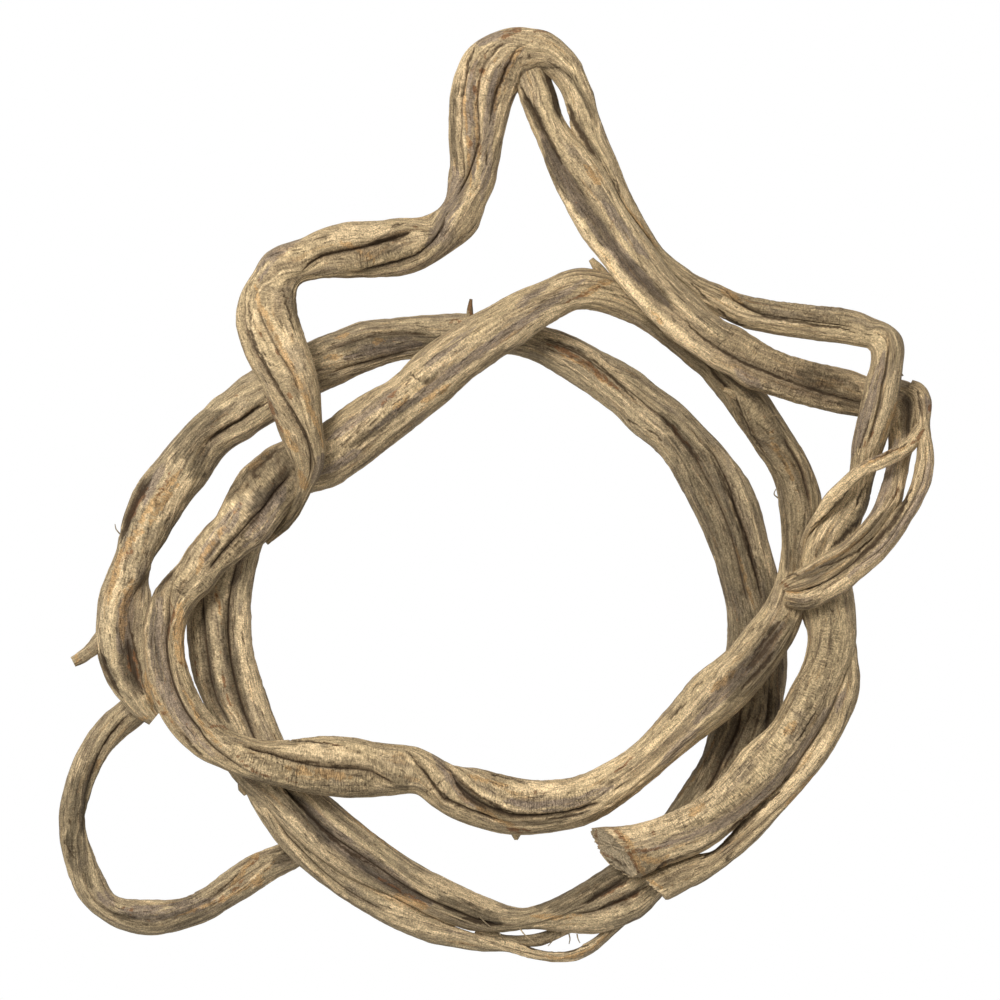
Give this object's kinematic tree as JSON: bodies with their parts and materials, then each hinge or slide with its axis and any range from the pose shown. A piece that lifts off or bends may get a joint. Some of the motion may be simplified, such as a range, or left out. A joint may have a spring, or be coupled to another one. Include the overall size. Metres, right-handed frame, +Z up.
{
  "type": "dried coiled vine",
  "caption": "Dried woody vine of grooved strands wound into an open ring, with a high bent crest, a split curled end, a sawn end and a small side loop; lies flat as an ornament or wreath base",
  "frame": {"origin": "on the surface that the vine lies on, under the middle of its bounding box", "axes": "+Z is up off the surface, +Y points from the open ring to the bent crest, +X points to the split curled end"},
  "size_m": [0.4756, 0.5098, 0.0633],
  "materials": {
    "pale_bark": "dry matte",
    "split_bark": "dry matte",
    "grey_bark": "dry matte"
  },
  "bodies": {
    "root": {"sawn_arm": "pale_bark", "crest_bend": "pale_bark", "curl_arm": "split_bark", "front_ring": "pale_bark", "bottom_stem": "grey_bark", "back_ring": "grey_bark", "side_loop": "grey_bark"}
  },
  "joints": []
}
